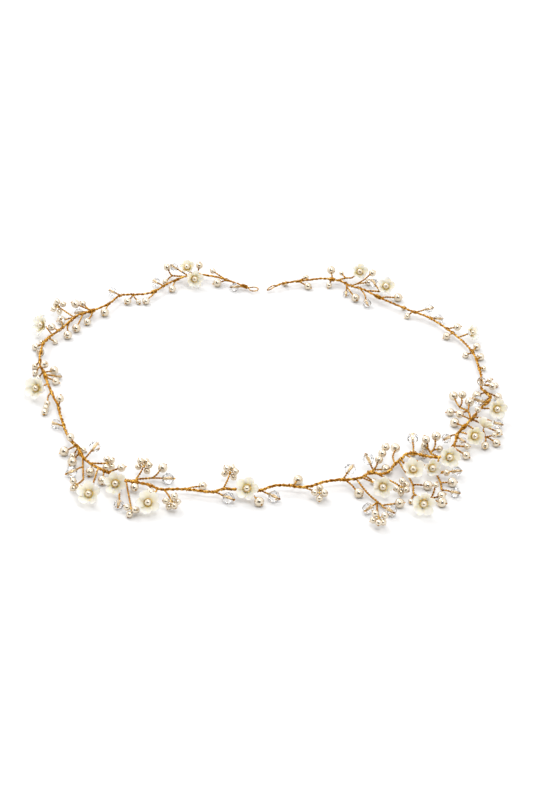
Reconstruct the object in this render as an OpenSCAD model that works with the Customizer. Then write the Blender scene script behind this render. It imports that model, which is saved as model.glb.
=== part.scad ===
// Bridal hair vine: an open ring of twisted gold wire that lies on a table.
// Its two ends carry a small eyelet each. Short twigs leave the stem all round
// it and hold pearls, faceted crystal beads and cupped flowers.

/* [Ring] */
// Size of the whole ring against the measured one
ring_scale = 1.0; // [0.95:0.01:1.1]
// How far the ring's middle lies to the right of the middle of everything
middle_x = -1.2; // [-5:0.1:5]
// How far the ring's middle lies behind the middle of everything
middle_y = 6.5; // [-5:0.1:8]

/* [Wire] */
// Thickness of the stem, a bundle of twisted wires
stem_d = 1.4; // [1:0.1:1.6]
// Thickness of a side branch that forks again
branch_d = 0.9; // [0.7:0.1:1.2]
// Thickness of the twig that carries one bead
twig_d = 0.6; // [0.4:0.05:0.7]
// Gap between a twig and the hole of its bead
hole_gap = 0.1; // [0.1:0.05:0.2]
// Thickness of the wire wraps where branches leave the stem
knot_d = 2.2; // [1.8:0.1:2.4]
// Width of the eyelets at the two ends
eyelet_w = 4.4; // [4:0.1:5]

/* [Pearls] */
// Large pearl
pearl_large = 3.6; // [3.3:0.1:3.7]
// Medium pearl
pearl_medium = 3.1; // [2.8:0.1:3.2]
// Small pearl, as in the berries
pearl_small = 2.5; // [2.2:0.1:2.6]
// Tiny pearl
pearl_tiny = 2.1; // [1.8:0.1:2.2]

/* [Crystals] */
// Large faceted crystal bead
crystal_large = 4.4; // [4:0.1:4.6]
// Small faceted crystal bead
crystal_small = 3.7; // [3.4:0.1:3.9]
// Tiny faceted crystal bead
crystal_tiny = 2.8; // [2.5:0.1:3]

/* [Flowers] */
// Thickness of a petal
petal_t = 0.8; // [0.6:0.1:1]
// Depth of a flower's cup against its width
cup_depth = 0.3; // [0.2:0.02:0.36]
// How far the notches between petals cut in, against the petal's length
notch_depth = 0.42; // [0.2:0.02:0.5]
// Pearl in the middle of a flower
centre_pearl = 2.5; // [2.2:0.1:2.6]
// Thickness of the wire collar round that pearl
collar_wire = 0.4; // [0.3:0.05:0.45]

/* [Hidden] */
// Short names of the bead sizes, for the tables
L = pearl_large;
M = pearl_medium;
S = pearl_small;
T = pearl_tiny;
BIG = crystal_large;
MID = crystal_small;
WEE = crystal_tiny;
twig_sides = 5;
stem_sides = 6;
hole_d = twig_d + 2 * hole_gap;
// How much a branch comes down for each millimetre away from the stem
droop = 0.138;
// Clear space kept between two beads on one twig
bead_gap = 0.2;
// Length of bare twig behind a flower
twig_lead = 0.6;
// Length of bare twig past the hole of a bead
twig_end = 0.2;
// How far a twig starts inside the wire it leaves
twig_bury = 0.27;
// Nub at the end of a twig that holds a large crystal
nub_d = 1.1;
nub_l = 0.6;
// Wire wrap in the middle of a berry
hub_d = 1.0;
// How far every other pearl of a berry stands in front of its middle, the rest
// behind it, and the same in a berry of three
berry_lift = 0.9;
trio_lift = 0.5;

// All places are given in degrees round the ring, from the middle of the back
// over the left side, and in millimetres outside the stem and above the table.

// The stem's route. Columns: degrees, distance from the ring's middle
STEM = [
    [3, 82], [6.5, 85.5], [11, 91], [14, 93.5], [17, 94.5], [19.5, 94.5], [22.5, 93], [26.5, 90.5],
    [30, 88], [33.5, 88], [36, 90], [39, 92.5], [44, 89.5], [48, 89], [51, 89.5], [55, 91.5],
    [62, 90.5], [71, 91], [75, 90], [82, 88], [86, 86], [90, 84], [95, 82.5], [103, 81],
    [107, 80.5], [112, 81.5], [116, 82.5], [120, 84], [126, 86.5], [130.5, 87.5], [133, 89.5],
    [138.5, 92], [144, 92.5], [149, 93.5], [152, 92.5], [155, 92], [158, 93], [162, 90.5],
    [165, 89.5], [170, 89.5], [172, 87], [180.5, 87.5], [184.5, 84.5], [188, 85], [190, 86.5],
    [193, 87], [196, 85.5], [200, 85.5], [203, 87], [206, 87.5], [209, 86], [211, 89], [213.5, 88.5],
    [216, 86], [220, 84], [222, 83], [223.5, 84.5], [225, 90], [226.5, 93], [229, 93.5], [232, 92.5],
    [235, 91], [238, 89], [245, 89], [253, 90.5], [258, 92.5], [260.5, 90.5], [262.5, 88.5],
    [269, 88.5], [276, 88.5], [280, 89], [287, 89], [293, 88.5], [299.5, 88], [306.5, 87.5],
    [311, 86], [316, 85.5], [324, 86.5], [329.5, 89], [334, 90], [337.5, 92.5], [342.5, 92.5],
    [345, 90.5], [350.5, 86.5], [353, 84.5], [354.6, 82.2]];
// The stem's height. Columns: degrees, height of its middle
STEM_UP = [
    [3, 1.6], [8, 2.6], [17, 3.6], [30, 2.6], [50, 3.2], [68, 2.9], [76, 4.6], [84, 3.2], [100, 3.3],
    [120, 2.8], [140, 3.3], [165, 2.8], [185, 3.2], [210, 3.3], [235, 3.2], [265, 3.4], [290, 2.7],
    [310, 2.9], [330, 3.2], [348, 2.7], [356, 2.4]];

// Side branches that fork again. Each is a route of points in degrees and
// millimetres outside the stem
BRANCHES = [
    [[19.5, 0], [22, 6]],
    [[134.5, 0], [137.8, 3.2], [141, 8]],
    [[151.5, 0], [150.5, -5]],
    [[151, -2.5], [153.7, -6]],
    [[209, 0], [210.7, -4.6]],
    [[204.5, 0], [204.6, 9], [205.2, 14.5], [205.5, 17]],
    [[218, 0], [215, 12], [213.3, 15.5], [214.7, 22.5]],
    [[226.5, 0], [222.6, 13.9], [220.5, 19.6], [218.7, 22.7]],
    [[226.5, 0], [227.3, -5.3], [228.5, -6]],
    [[246, 0], [250.6, -4.2], [252.8, -8.6]],
    [[243.5, 0], [241.5, 9]],
    [[246.5, 0], [246, 5.5]],
    [[328.5, 0], [325.9, 5]],
    [[338.5, 0], [337, 5.5], [336, 7.8]]];
// Wire wraps on the stem, in degrees
KNOTS = [4, 16, 30.2, 50.7, 91, 133, 151.5, 209, 223.3, 242, 324, 340];

// Columns of the tables of beads and flowers: where the twig leaves the stem
// or branch, and where the bead lies. A height of 0 lays it on the table.
FROM = 0;
FORK = 1;
AT = 2;
OUT = 3;
UP = 4;
SIZE = 5;
// Beads in a row on one twig, the last at this place; one if left out
COUNT = 6;
PEARLS = [
    [9, 0, 12, 2.5, 4.5, S], [8.5, 0, 11.5, -3.5, 0, L], [16, 0.5, 15, 4.5, 5.8, M],
    [22, 6, 22.4, 10.5, 4.6, M], [22, 6, 24.4, 5, 0, S], [22, 0, 24.5, -3, 0, M],
    [30, 0, 34.5, -5, 0, M], [36, 0, 38.7, -4, 0, M], [36, 0, 36.2, -4.4, 0, T],
    [44.5, 0, 48, -2.6, 0, L], [50.7, 0, 55, -5, 0, M], [53.5, 0, 60, -4.2, 0, L],
    [58, 0, 64.5, -4.2, 0, L], [50.7, 0.5, 52.5, 6, 5.4, L], [50.7, 0.5, 50.5, 5.7, 4.6, S],
    [50.7, 0.5, 49, 4.5, 0, T], [56.5, 0, 58.3, 5.2, 0, L], [64.5, 0, 65.7, 2, 5, M],
    [69.7, 0, 68.6, -1.9, 0, T], [73.8, 0, 73.3, 3.8, 0, M], [71, 0, 70, 3.2, 0, T],
    [85.5, 0, 87, -1, 5.6, M], [82.5, 0, 83, 2.2, 0, S], [84.7, 0, 86.5, 2.8, 0, S],
    [88, 0, 89, 2.4, 0, T], [89, 0, 85.5, -5, 0, L], [91, 0, 91.5, -3.8, 0, M],
    [100, 0, 108, 5.4, 0, S, 3], [109.5, 0, 107.3, -1, 5.6, M],
    [128, 0, 127.6, 1, 5.7, M], [129.5, 0, 128.6, 4.8, 0, L], [130.7, 0, 131.2, 2.8, 0, S],
    [129.5, 0, 130.4, -2.4, 0, T], [139, 0, 139.8, 2.5, 0, L], [143.6, 0, 146, -4.5, 4.2, M],
    [132.6, 0, 133.6, 4.4, 0, L], [142.5, 0, 144.4, 3.9, 0, L], [150.8, 0, 152.4, 2.8, 2.6, M],
    [153.7, -6, 154.8, -11.3, 4, L], [155.2, 0, 156.4, 2.9, 2.3, M], [163.5, 0, 166.5, -5.5, 0, M],
    [178.5, 0, 180.6, 5.6, 0, L], [188.5, 0, 191, -7.3, 0, L], [201.7, 0, 203, 7.6, 0, L],
    [207, 0, 208.6, 3, 0, S], [210.7, -4.6, 217.5, -7, 6.4, M, 3], [210.7, -4.6, 214, -3.2, 0, L],
    [216.5, 0, 221.5, -5.5, 3.8, L], [205.5, 17, 208.6, 20.9, 0, L], [219.3, 0, 219.3, 3.1, 0, T],
    [223.3, 0, 225.2, -8.4, 0, S], [227.3, -5.3, 228.6, -9.4, 5.8, M], [227.3, -5.3, 230, -11, 0, M],
    [228.5, -6, 232.4, -7.6, 5, L], [228.5, -6, 231.4, -5.2, 0, S], [215, 12, 217.2, 17.4, 0, L],
    [213.3, 15.5, 211.2, 18.2, 0, T], [214.7, 22.5, 217, 22, 4.4, T], [214.7, 22.5, 217, 25.2, 0, M],
    [214.7, 22.5, 215.4, 28.2, 0, L], [222.6, 13.9, 222.4, 19.4, 3.6, S], [220.5, 19.6, 221.8, 23.7, 0, L],
    [232.4, 0, 234.9, 4.8, 2.6, S], [232.4, 0, 232.4, 5.9, 0, M], [241.5, 9, 241.8, 12.4, 3.4, T],
    [241.5, 9, 238.4, 11.4, 0, M], [241.5, 9, 240.6, 14.2, 0, M], [246, 5.5, 244.9, 12, 0, M],
    [248.7, 0, 249, 0.6, 5.6, S], [261, 0, 260.4, -3.7, 0, L], [264.5, 0, 264.2, 4.1, 3.2, M],
    [265.5, 0, 266.4, 3, 4, T], [264.5, 0, 267.3, 5.6, 0, T], [260.4, 0, 261, 5, 0, M],
    [250.6, -4.2, 254.7, -6.1, 3.4, L], [252.8, -8.6, 256.6, -10.2, 4.6, M],
    [252.8, -8.6, 257.2, -14, 3.3, L], [250.6, -4.2, 250, -10.8, 0, M],
    [246, 0, 247.1, -5.3, 3.8, M], [242, 0, 244.7, -5.6, 0, L], [274, 0, 276, 2.4, 0, T],
    [283, 0, 283.7, -2.4, 0, S], [279, 0, 281.6, 2.8, 0, M], [283.5, 0, 287, 4.2, 0, M],
    [297.5, 0, 297, 4.2, 3, M], [295, 0, 295.3, -2.5, 0, M], [311, 0, 311.6, -2.3, 0, S],
    [314.5, 0, 316, 3, 0, T], [323, 0, 320.4, 7.3, 0, L], [335.5, 0, 330, -6.4, 0, L],
    [333.5, 0, 331, 12.2, 5.2, M], [333.5, 0, 331.4, 10, 0, M], [337, 5.5, 339, 8.2, 2.6, T],
    [340, 0, 341, 4.4, 5.2, L], [340, 0, 340.2, -2.4, 0, S], [348.3, 0, 347, 2.6, 2.8, S],
    [348.7, 0, 345.6, -4, 0, M], [352.5, 0, 352.4, 2.6, 0, S]];

// Berries: pearls set close round a fork of the wire.
// They go on after SIZE with the number of pearls, the way the berry faces in
// degrees, and how far it leans that way from upright
BERRY_COUNT = 6;
FACES = 7;
LEANS = 8;
BERRIES = [
    [56.5, 0, 55.4, 9.9, 4.6, S, 5, 150, 60], [138, 0, 141.4, -4.5, 3.3, S, 4, 180, 50],
    [141, 8, 142.2, 13.8, 3.4, S, 3, 180, 60], [150.5, -5, 150.4, -9.4, 4.6, S, 5, 180, 50],
    [149.5, 0, 156, 16.6, 2.5, S, 4, 180, 8], [158.8, 0, 162.5, 10.2, 3.7, S, 5, 180, 50],
    [172, 0, 172.9, -9, 4.6, S, 5, 180, 55], [191, 0, 194.3, 5.6, 3, S, 5, 180, 4],
    [210, 0, 211.3, 11.8, 3.8, S, 5, 180, 50], [205.2, 14.5, 202, 29, 3.8, S, 5, 190, 45]];

LARGE_CRYSTALS = [
    [135.7, 0, 134.3, -6, 4.6, BIG], [137.8, 3.2, 137, 8.2, 0, BIG], [153.7, -6, 157.4, -8.8, 0, BIG],
    [170, 0, 173.7, 4.4, 0, BIG], [181, 0, 184, 5.4, 0, BIG], [201, 0, 204.4, -4.6, 4.8, BIG],
    [210.7, -4.6, 210.9, -9, 5, BIG], [205.2, 14.5, 202, 19.7, 0, BIG],
    [205.5, 17, 205.6, 23.4, 0, BIG], [223.3, 0, 228.3, -15.2, 4.4, BIG]];
SMALL_CRYSTALS = [
    [4, 0, 7, -3.4, 0, MID], [18.5, 0, 21.2, 6.6, 5.8, MID], [26.8, 0, 27.2, 6, 2.6, MID],
    [39, 0, 39.5, 5.4, 3, MID], [50.7, 0.5, 52.4, 4.4, 0, MID],
    [62.5, 0, 62.6, 0.5, 5.8, WEE], [78.5, 0, 76, 1, 0, MID], [90, 0, 88.4, -5.8, 0, WEE],
    [118.5, 0, 115.5, 2.6, 0, MID], [149.5, 0, 152.6, 14.6, 0, MID], [224.5, 0, 226.1, -6.4, 0, MID],
    [218.7, 22.7, 219.6, 28.4, 0, MID], [222.6, 13.9, 224.8, 14.6, 3, MID],
    [238, 0, 233, -3.4, 5, MID], [237, 0, 236.4, 2.6, 3, WEE], [247.7, 0, 248, 9.4, 2.2, MID],
    [255.5, 0, 254.2, -2.3, 5.2, MID], [258.3, 0, 257.8, -2.6, 0, WEE],
    [264.5, 0, 262.7, -0.3, 6.3, MID], [305.2, 0, 304.6, 4, 0, MID], [310.5, 0, 309, 5.6, 3.5, MID],
    [325.9, 5, 328.4, 6, 4.6, MID], [331, 0, 325.3, -6.2, 0, MID], [335.5, 0, 333.8, -4.8, 0, WEE]];

// A flower's place is that of the pearl in its middle. After SIZE come the
// number of petals, the way it faces, its lean and its turn round its middle
PETALS = 6;
TURN = 9;
FLOWERS = [
    [16.5, 0, 17.8, -5.6, 4.4, 8.2, 5, 200, 66, 0], [17, 0, 18.4, 2.6, 6.6, 6.8, 5, 170, 30, 30],
    [67.5, 0, 66.3, 6.6, 5.4, 9.4, 5, 130, 60, 10], [95, 0, 99.2, 5.8, 5, 9.4, 5, 158, 60, 0],
    [141, 0, 146.8, 16.8, 4.6, 9.2, 5, 175, 50, 20], [146.5, 0, 149.3, 6.4, 5.1, 9, 6, 180, 60, 12],
    [157.5, 0, 158.5, 12.6, 4.6, 9.4, 5, 186, 50, 36], [177.6, 0, 177.8, 2.4, 5.4, 9.2, 5, 180, 62, 0],
    [206, 0, 207.4, 12.1, 4.8, 8.2, 5, 180, 64, 0], [219, 0, 217, 9.5, 5.2, 8.6, 5, 185, 40, 20],
    [221.5, 0, 220.8, 14.8, 4.8, 6.8, 5, 200, 62, 20], [213.3, 15.5, 210.9, 27, 4.8, 9.4, 5, 185, 72, 10],
    [230, 0, 226.2, 6, 5.6, 8.5, 5, 190, 62, 0], [239.5, 0, 237.8, 7.4, 5, 7.5, 5, 190, 62, 0],
    [241.5, 9, 243.7, 7.4, 5.6, 7.2, 5, 330, 50, 0], [252.5, 0, 251.5, 6.8, 5, 8.4, 5, 195, 66, 0],
    [292, 0, 291.6, 6, 4.2, 7.4, 5, 240, 60, 0], [325.9, 5, 324.2, 6.5, 5.5, 8, 5, 180, 46, 0],
    [336, 7.8, 333.7, 9, 6, 7.2, 5, 190, 50, 0]];
// Samples along one petal's edge, and the rings of a petal against its length
petal_steps = 4;
PETAL_RINGS = [0, 0.5, 1];
flower_hole = hole_d / 2 + 0.1;
// How far the wire goes past the middle of the centre pearl, which is drilled
// from the back only and glued on
glue_depth = 0.5;
// Height of the centre pearl's middle above the flower's heart, and of its
// collar, which rests just above the petals of the cup
pearl_rise = centre_pearl / 2 + 0.15;
collar_rise = 1.8 * cup_depth + collar_wire / 2 + 0.09;
collar_r = (centre_pearl + collar_wire) / 2;

// Facets of a crystal. Columns: place along the hole, distance from it, both
// against the bead's size
FACET_RINGS = [[-0.455, 0.2], [-0.15, 0.475], [0.15, 0.475], [0.455, 0.2]];
facet_sides = 8;

function two(i) = i < 9 ? str("0", i + 1) : str(i + 1);
function unit(v) = v / norm(v);
function stem_r(a) = ring_scale * lookup(a, STEM);
function spot(a, out, up) = let (r = stem_r(a) + out)
    [middle_x - r * sin(a), middle_y + r * cos(a), up];
// The middle of the stem or of a branch, which droops away from the stem
function on_wire(a, out) = spot(a, out, max(1, lookup(a, STEM_UP) - droop * abs(out)));
// Where a twig leaves the stem or branch, and where its bead or flower is
function root(row) = on_wire(row[FROM], row[FORK]);
function seat(row) = spot(row[AT], row[OUT], row[UP] == 0 ? row[SIZE] / 2 : row[UP]);
function beads(row) = row[COUNT] == undef ? 1 : row[COUNT];
function thread(row) = unit(seat(row) - root(row));
// What is drawn upright leans to one side, and is turned round its own middle
function facing(row) = [-sin(row[FACES]) * sin(row[LEANS]), cos(row[FACES]) * sin(row[LEANS]),
    cos(row[LEANS])];
function turned(v, row) = let (c = cos(row[TURN]), s = sin(row[TURN]), x = c * v.x - s * v.y,
    y = s * v.x + c * v.y, l = row[LEANS], f = row[FACES], y2 = y * cos(l) + v.z * sin(l))
    [x * cos(f) - y2 * sin(f), x * sin(f) + y2 * cos(f), -y * sin(l) + v.z * cos(l)];
function heart(row) = seat(row) - facing(row) * pearl_rise;
// The pearls of a berry lie close in a zigzag ring that stays open where its
// stalk comes in, with the two beside the stalk on the side away from it
function berry_spots(row) = let (n = facing(row), stalk = root(row) - seat(row),
    u = unit(stalk - (stalk * n) * n), v = cross(n, u), slots = row[BERRY_COUNT] + 1,
    lift = (row[BERRY_COUNT] == 3 ? trio_lift : berry_lift) * (stalk * n > 0 ? -1 : 1),
    pitch = row[SIZE] + bead_gap,
    r = sqrt(pitch * pitch - 4 * lift * lift) / (2 * sin(180 / slots)))
    [for (k = [1:row[BERRY_COUNT]])
        seat(row) + r * (cos(360 * k / slots) * u + sin(360 * k / slots) * v)
            + (k % 2 == 0 ? -lift : lift) * n];
stem_path = [for (row = STEM) on_wire(row[0], 0)];
ring_end = len(stem_path) - 1;

// Directions along a route, and sideways from it with as little turn as can be
function ahead(p) = [for (i = [0:len(p) - 1]) unit(p[min(i + 1, len(p) - 1)] - p[max(i - 1, 0)])];
function sideways(t, i = 0, last = [0, 0, 0]) =
    let (first = unit(cross(t[0], abs(t[0].z) < 0.8 ? [0, 0, 1] : [1, 0, 0])),
        n = i == 0 ? first : unit(last - (last * t[i]) * t[i]))
    i == len(t) - 1 ? [n] : concat([n], sideways(t, i + 1, n));
function quad(a, b, c, d) = [[a, b, c], [a, c, d]];

// A wire along the route p, with a radius for each of its points
module wire(p, r, n) {
    t = ahead(p);
    s = sideways(t);
    last = len(p) - 1;
    points = [for (i = [0:last]) for (k = [0:n - 1])
        p[i] + r[i] * (cos(360 * k / n) * s[i] + sin(360 * k / n) * cross(t[i], s[i]))];
    skin = [for (i = [0:last - 1]) for (k = [0:n - 1])
        let (j = (k + 1) % n)
        each quad(i * n + k, (i + 1) * n + k, (i + 1) * n + j, i * n + j)];
    ends = [[for (k = [0:n - 1]) k], [for (k = [n - 1:-1:0]) last * n + k]];
    polyhedron(points, concat(skin, ends));
}

// A twig runs straight through its bead and ends just past it, or in a nub
function buried(row, to) = root(row) - unit(to - root(row)) * twig_bury;
module twig(row, nub = false) {
    way = thread(row);
    r = twig_d / 2;
    start = buried(row, seat(row));
    out = seat(row) + way * (row[SIZE] / 2 + twig_end);
    if (nub) wire([start, out, out + way * 0.1, out + way * nub_l],
        [r, r, nub_d / 2, nub_d / 3], twig_sides);
    else wire([start, out], [r, r], twig_sides);
}

module berry_wires(row) {
    hub = seat(row);
    r = [1, 1] * twig_d / 2;
    translate(hub) sphere(d = hub_d, $fn = 5);
    wire([buried(row, hub), hub], r, twig_sides);
    for (p = berry_spots(row))
        wire([hub, p + unit(p - hub) * (row[SIZE] / 2 + twig_end)], r, twig_sides);
}

module flower_wire(row) {
    way = facing(row);
    top = seat(row) + way * glue_depth;
    back = heart(row) - way * (petal_t + twig_lead);
    wire([buried(row, back), back, top], [1, 1, 1] * twig_d / 2, twig_sides);
}

// A closed loop that starts inside the stem's end; lean is how steeply it stands
module eyelet(tip, way, lean) {
    r = eyelet_w / 2 - 0.3;
    flat = unit([way.x, way.y, 0]);
    side = [-flat.y, flat.x, 0];
    rise = cos(lean) * side + [0, 0, sin(lean)];
    start = [-stem_d / 3, 0];
    loop = [for (a = [150:-30:-150]) r * [1.5 + cos(a), sin(a)]];
    path = [for (q = concat([start], loop, [start])) tip + q.x * flat + q.y * rise];
    wire(path, [for (q = path) 0.3], twig_sides);
}

module vine_wire() color("goldenrod") {
    wire(stem_path, [for (p = stem_path) stem_d / 2], stem_sides);
    for (route = BRANCHES)
        wire([for (q = route) on_wire(q[0], q[1])], [for (q = route) branch_d / 2], twig_sides);
    for (a = KNOTS) hull() for (w = [-0.7, 0.7])
        translate(on_wire(a + w, 0)) sphere(d = knot_d, $fn = 5);
    for (row = concat(PEARLS, SMALL_CRYSTALS)) twig(row);
    for (row = LARGE_CRYSTALS) twig(row, true);
    for (row = BERRIES) berry_wires(row);
    for (row = FLOWERS) flower_wire(row);
    eyelet(stem_path[0], stem_path[0] - stem_path[1], 0);
    eyelet(stem_path[ring_end], stem_path[ring_end] - stem_path[ring_end - 1], 50);
}

// Turns what is drawn upright at the middle to lie along a way, at a place
module along(place, way) translate(place)
    rotate([0, acos(way.z), atan2(way.y, way.x)]) children();

module pearl(d, place, way) along(place, way) difference() {
    sphere(d = d);
    cylinder(h = d + 1, d = hole_d, center = true);
}

module pearls(first, last) color("seashell") {
    for (row = PEARLS) if (row[AT] >= first && row[AT] < last)
        for (k = [0:beads(row) - 1])
            pearl(row[SIZE], seat(row) - thread(row) * k * (row[SIZE] + bead_gap), thread(row));
    for (row = BERRIES) if (row[AT] >= first && row[AT] < last)
        for (p = berry_spots(row)) pearl(row[SIZE], p, unit(p - seat(row)));
}
module pearls_left() pearls(0, 180);
module pearls_right() pearls(180, 360);

module centre_pearls() color("seashell")
    for (row = FLOWERS) along(seat(row), facing(row)) difference() {
        sphere(d = centre_pearl);
        translate([0, 0, glue_depth + hole_gap - centre_pearl])
            cylinder(h = centre_pearl, d = hole_d);
    }

module wire_collars() color("goldenrod")
    for (row = FLOWERS) along(heart(row) + facing(row) * collar_rise, facing(row))
        rotate_extrude() translate([collar_r, 0]) circle(d = collar_wire);

// A faceted round bead, drilled from one table to the other
module crystal(row) color("aliceblue") along(seat(row), thread(row)) difference() {
    n = facet_sides;
    last = len(FACET_RINGS) - 1;
    polyhedron(
        [for (i = [0:last]) for (k = [0:n - 1])
            let (a = 360 * (k + (i % 2) / 2) / n, r = row[SIZE] * FACET_RINGS[i][1])
            [r * cos(a), r * sin(a), row[SIZE] * FACET_RINGS[i][0]]],
        concat(
            [for (i = [0:last - 1]) for (k = [0:n - 1])
                let (j = (k + 1) % n, a = i * n, b = a + n)
                each i % 2 == 0
                    ? [[a + k, b + k, a + j], [a + j, b + k, b + j]]
                    : [[a + k, b + j, a + j], [a + k, b + k, b + j]]],
            [[for (k = [0:n - 1]) k], [for (k = [n - 1:-1:0]) last * n + k]]));
    cylinder(h = row[SIZE] + 1, d = hole_d, center = true);
}
module small_crystals() for (row = SMALL_CRYSTALS) crystal(row);

// A cup of round petals. The top and the back have the same rings of points
function petal_point(row, ring, k, back) =
    let (n = row[PETALS], a = 360 * k / (n * petal_steps), wide = abs(sin(180 * k / petal_steps)),
        edge = row[SIZE] / 2 * (1 - notch_depth * (1 - wide)),
        r = flower_hole + PETAL_RINGS[ring] * (edge - flower_hole),
        rise = cup_depth * row[SIZE] * pow(r / (row[SIZE] / 2), 1.7))
    [r * cos(a), r * sin(a), rise - (back ? petal_t : 0)];
module flower(row) color("ivory") translate(heart(row)) {
    n = row[PETALS] * petal_steps;
    last = len(PETAL_RINGS) - 1;
    low = n * (last + 1);
    points = [for (back = [false, true]) for (ring = [0:last]) for (k = [0:n - 1])
        turned(petal_point(row, ring, k, back), row)];
    skin = [for (i = [0:last - 1]) for (k = [0:n - 1])
        let (a = i * n + k, b = i * n + (k + 1) % n)
        each concat(quad(a, b, b + n, a + n), quad(low + a, low + a + n, low + b + n, low + b))];
    walls = [for (k = [0:n - 1])
        let (j = (k + 1) % n, a = last * n + k, b = last * n + j)
        each concat(quad(a, b, low + b, low + a), quad(k, low + k, low + j, j))];
    polyhedron(points, concat(skin, walls));
}

function flower_name(i) = str("flower_", two(i));
function crystal_name(i) = str("crystal_", two(i));
vine_wire();
pearls_left();
pearls_right();
centre_pearls();
wire_collars();
small_crystals();
for (i = [0:len(FLOWERS) - 1])
    flower(FLOWERS[i]);
for (i = [0:len(LARGE_CRYSTALS) - 1])
    crystal(LARGE_CRYSTALS[i]);
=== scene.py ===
import math

import bpy
import numpy as np
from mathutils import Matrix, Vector


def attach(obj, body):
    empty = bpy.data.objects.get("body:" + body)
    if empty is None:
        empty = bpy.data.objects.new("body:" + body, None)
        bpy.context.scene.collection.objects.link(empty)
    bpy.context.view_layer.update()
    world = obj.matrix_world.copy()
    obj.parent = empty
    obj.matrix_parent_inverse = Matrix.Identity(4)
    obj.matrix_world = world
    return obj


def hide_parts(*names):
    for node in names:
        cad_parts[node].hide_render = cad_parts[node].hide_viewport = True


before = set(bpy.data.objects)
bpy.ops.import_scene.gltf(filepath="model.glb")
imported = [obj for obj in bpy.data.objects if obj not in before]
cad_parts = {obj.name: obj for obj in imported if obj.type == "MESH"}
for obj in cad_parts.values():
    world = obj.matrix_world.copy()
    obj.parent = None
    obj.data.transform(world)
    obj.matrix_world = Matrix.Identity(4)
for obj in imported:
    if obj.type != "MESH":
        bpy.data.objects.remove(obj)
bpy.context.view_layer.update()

# Camera: it looks down on the ring from the front, through a long lens.
# The ring fills the height of an upright picture of 533 by 800.
MM = 0.001
LOOK_DOWN = math.radians(29)
TOWARDS_EYE = Vector((0, -math.cos(LOOK_DOWN), math.sin(LOOK_DOWN)))
aim = Vector((2.4, -8.1, 0)) * MM
camera = bpy.data.objects.new("camera", bpy.data.cameras.new("camera"))
camera.data.lens = 98
camera.data.sensor_width = 36
camera.data.clip_start = 0.05
camera.location = aim + TOWARDS_EYE * 850 * MM
camera.rotation_euler = (-TOWARDS_EYE).to_track_quat("-Z", "Y").to_euler()
bpy.context.scene.collection.objects.link(camera)
bpy.context.scene.camera = camera
bpy.context.scene.view_settings.view_transform = "Standard"

# White studio: a bright room that is a little darker low down, with the dark
# place where the camera stands, which every pearl and crystal mirrors.
world = bpy.data.worlds.new("white_room")
bpy.context.scene.world = world
world.use_nodes = True


def step(tree, kind, **settings):
    """A new node of a material or of the room, with its settings"""
    made = tree.nodes.new("ShaderNode" + kind)
    for name, value in settings.items():
        setattr(made, name, value)
    return made


def ramp(tree, stops, source):
    """Colours that follow a number; stops are rows of place, red, green, blue"""
    made = step(tree, "ValToRGB")
    band = made.color_ramp.elements
    band.remove(band[1])
    band[0].position = stops[0][0]
    band[0].color = (*stops[0][1:], 1)
    for place, *colour in stops[1:]:
        band.new(place).color = (*colour, 1)
    tree.links.new(source, made.inputs[0])
    return made.outputs["Color"]


room = world.node_tree
room.nodes.clear()
way_out = step(room, "TexCoord").outputs["Generated"]
height = step(room, "SeparateXYZ")
room.links.new(way_out, height.inputs[0])
by_height = ramp(room, [(0, 0.9, 0.87, 0.83), (0.25, 1.2, 1.18, 1.15), (0.8, 1.3, 1.3, 1.3)],
                 height.outputs["Z"])
near_eye = step(room, "VectorMath", operation="DOT_PRODUCT")
near_eye.inputs[1].default_value = Vector((-0.1, -0.9, 0.42)).normalized()
room.links.new(way_out, near_eye.inputs[0])
DARK = (0.05, 0.04, 0.03)
by_eye = ramp(room, [(0, 1, 1, 1), (0.72, 1, 1, 1), (0.85, *DARK), (1, *DARK)], near_eye.outputs["Value"])
both = step(room, "Mix", data_type="RGBA", blend_type="MULTIPLY")
both.inputs["Factor"].default_value = 1
room.links.new(by_height, both.inputs[6])
room.links.new(by_eye, both.inputs[7])
glow = step(room, "Background")
room.links.new(both.outputs[2], glow.inputs["Color"])
room.links.new(glow.outputs[0], step(room, "OutputWorld").inputs["Surface"])


def lamp(name, place, size, power):
    """A square soft lamp at a place in metres, turned to the ring's middle"""
    light = bpy.data.lights.new(name, "AREA")
    light.size = size
    light.energy = power
    held = bpy.data.objects.new(name, light)
    held.location = place
    held.rotation_euler = (-Vector(place)).to_track_quat("-Z", "Y").to_euler()
    bpy.context.scene.collection.objects.link(held)


lamp("window_behind", (-0.42, 0.62, 0.80), 0.55, 4.0)
lamp("softbox_front", (0.12, -0.5, 0.9), 0.3, 3.2)

# Table: a plain white sheet, wide enough to fill every view.
table = bpy.data.objects.new("table", bpy.data.meshes.new("table"))
table.data.from_pydata([(-3, -3, 0), (3, -3, 0), (3, 3, 0), (-3, 3, 0)], [], [(0, 1, 2, 3)])
bpy.context.scene.collection.objects.link(table)


def finish(name, **sockets):
    """A material with one shader, its sockets set"""
    made = bpy.data.materials.new(name)
    made.use_nodes = True
    shader = made.node_tree.nodes["Principled BSDF"]
    for socket, value in sockets.items():
        shader.inputs[socket.replace("_", " ")].default_value = value
    return made


def mottled(material, scale, stops):
    """Lets a material's colour wander in clouds; scale is clouds per metre"""
    tree = material.node_tree
    clouds = step(tree, "TexNoise")
    clouds.inputs["Scale"].default_value = scale
    clouds.inputs["Detail"].default_value = 3
    tree.links.new(step(tree, "TexCoord").outputs["Object"], clouds.inputs["Vector"])
    tree.links.new(ramp(tree, stops, clouds.outputs["Fac"]),
                   tree.nodes["Principled BSDF"].inputs["Base Color"])


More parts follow.
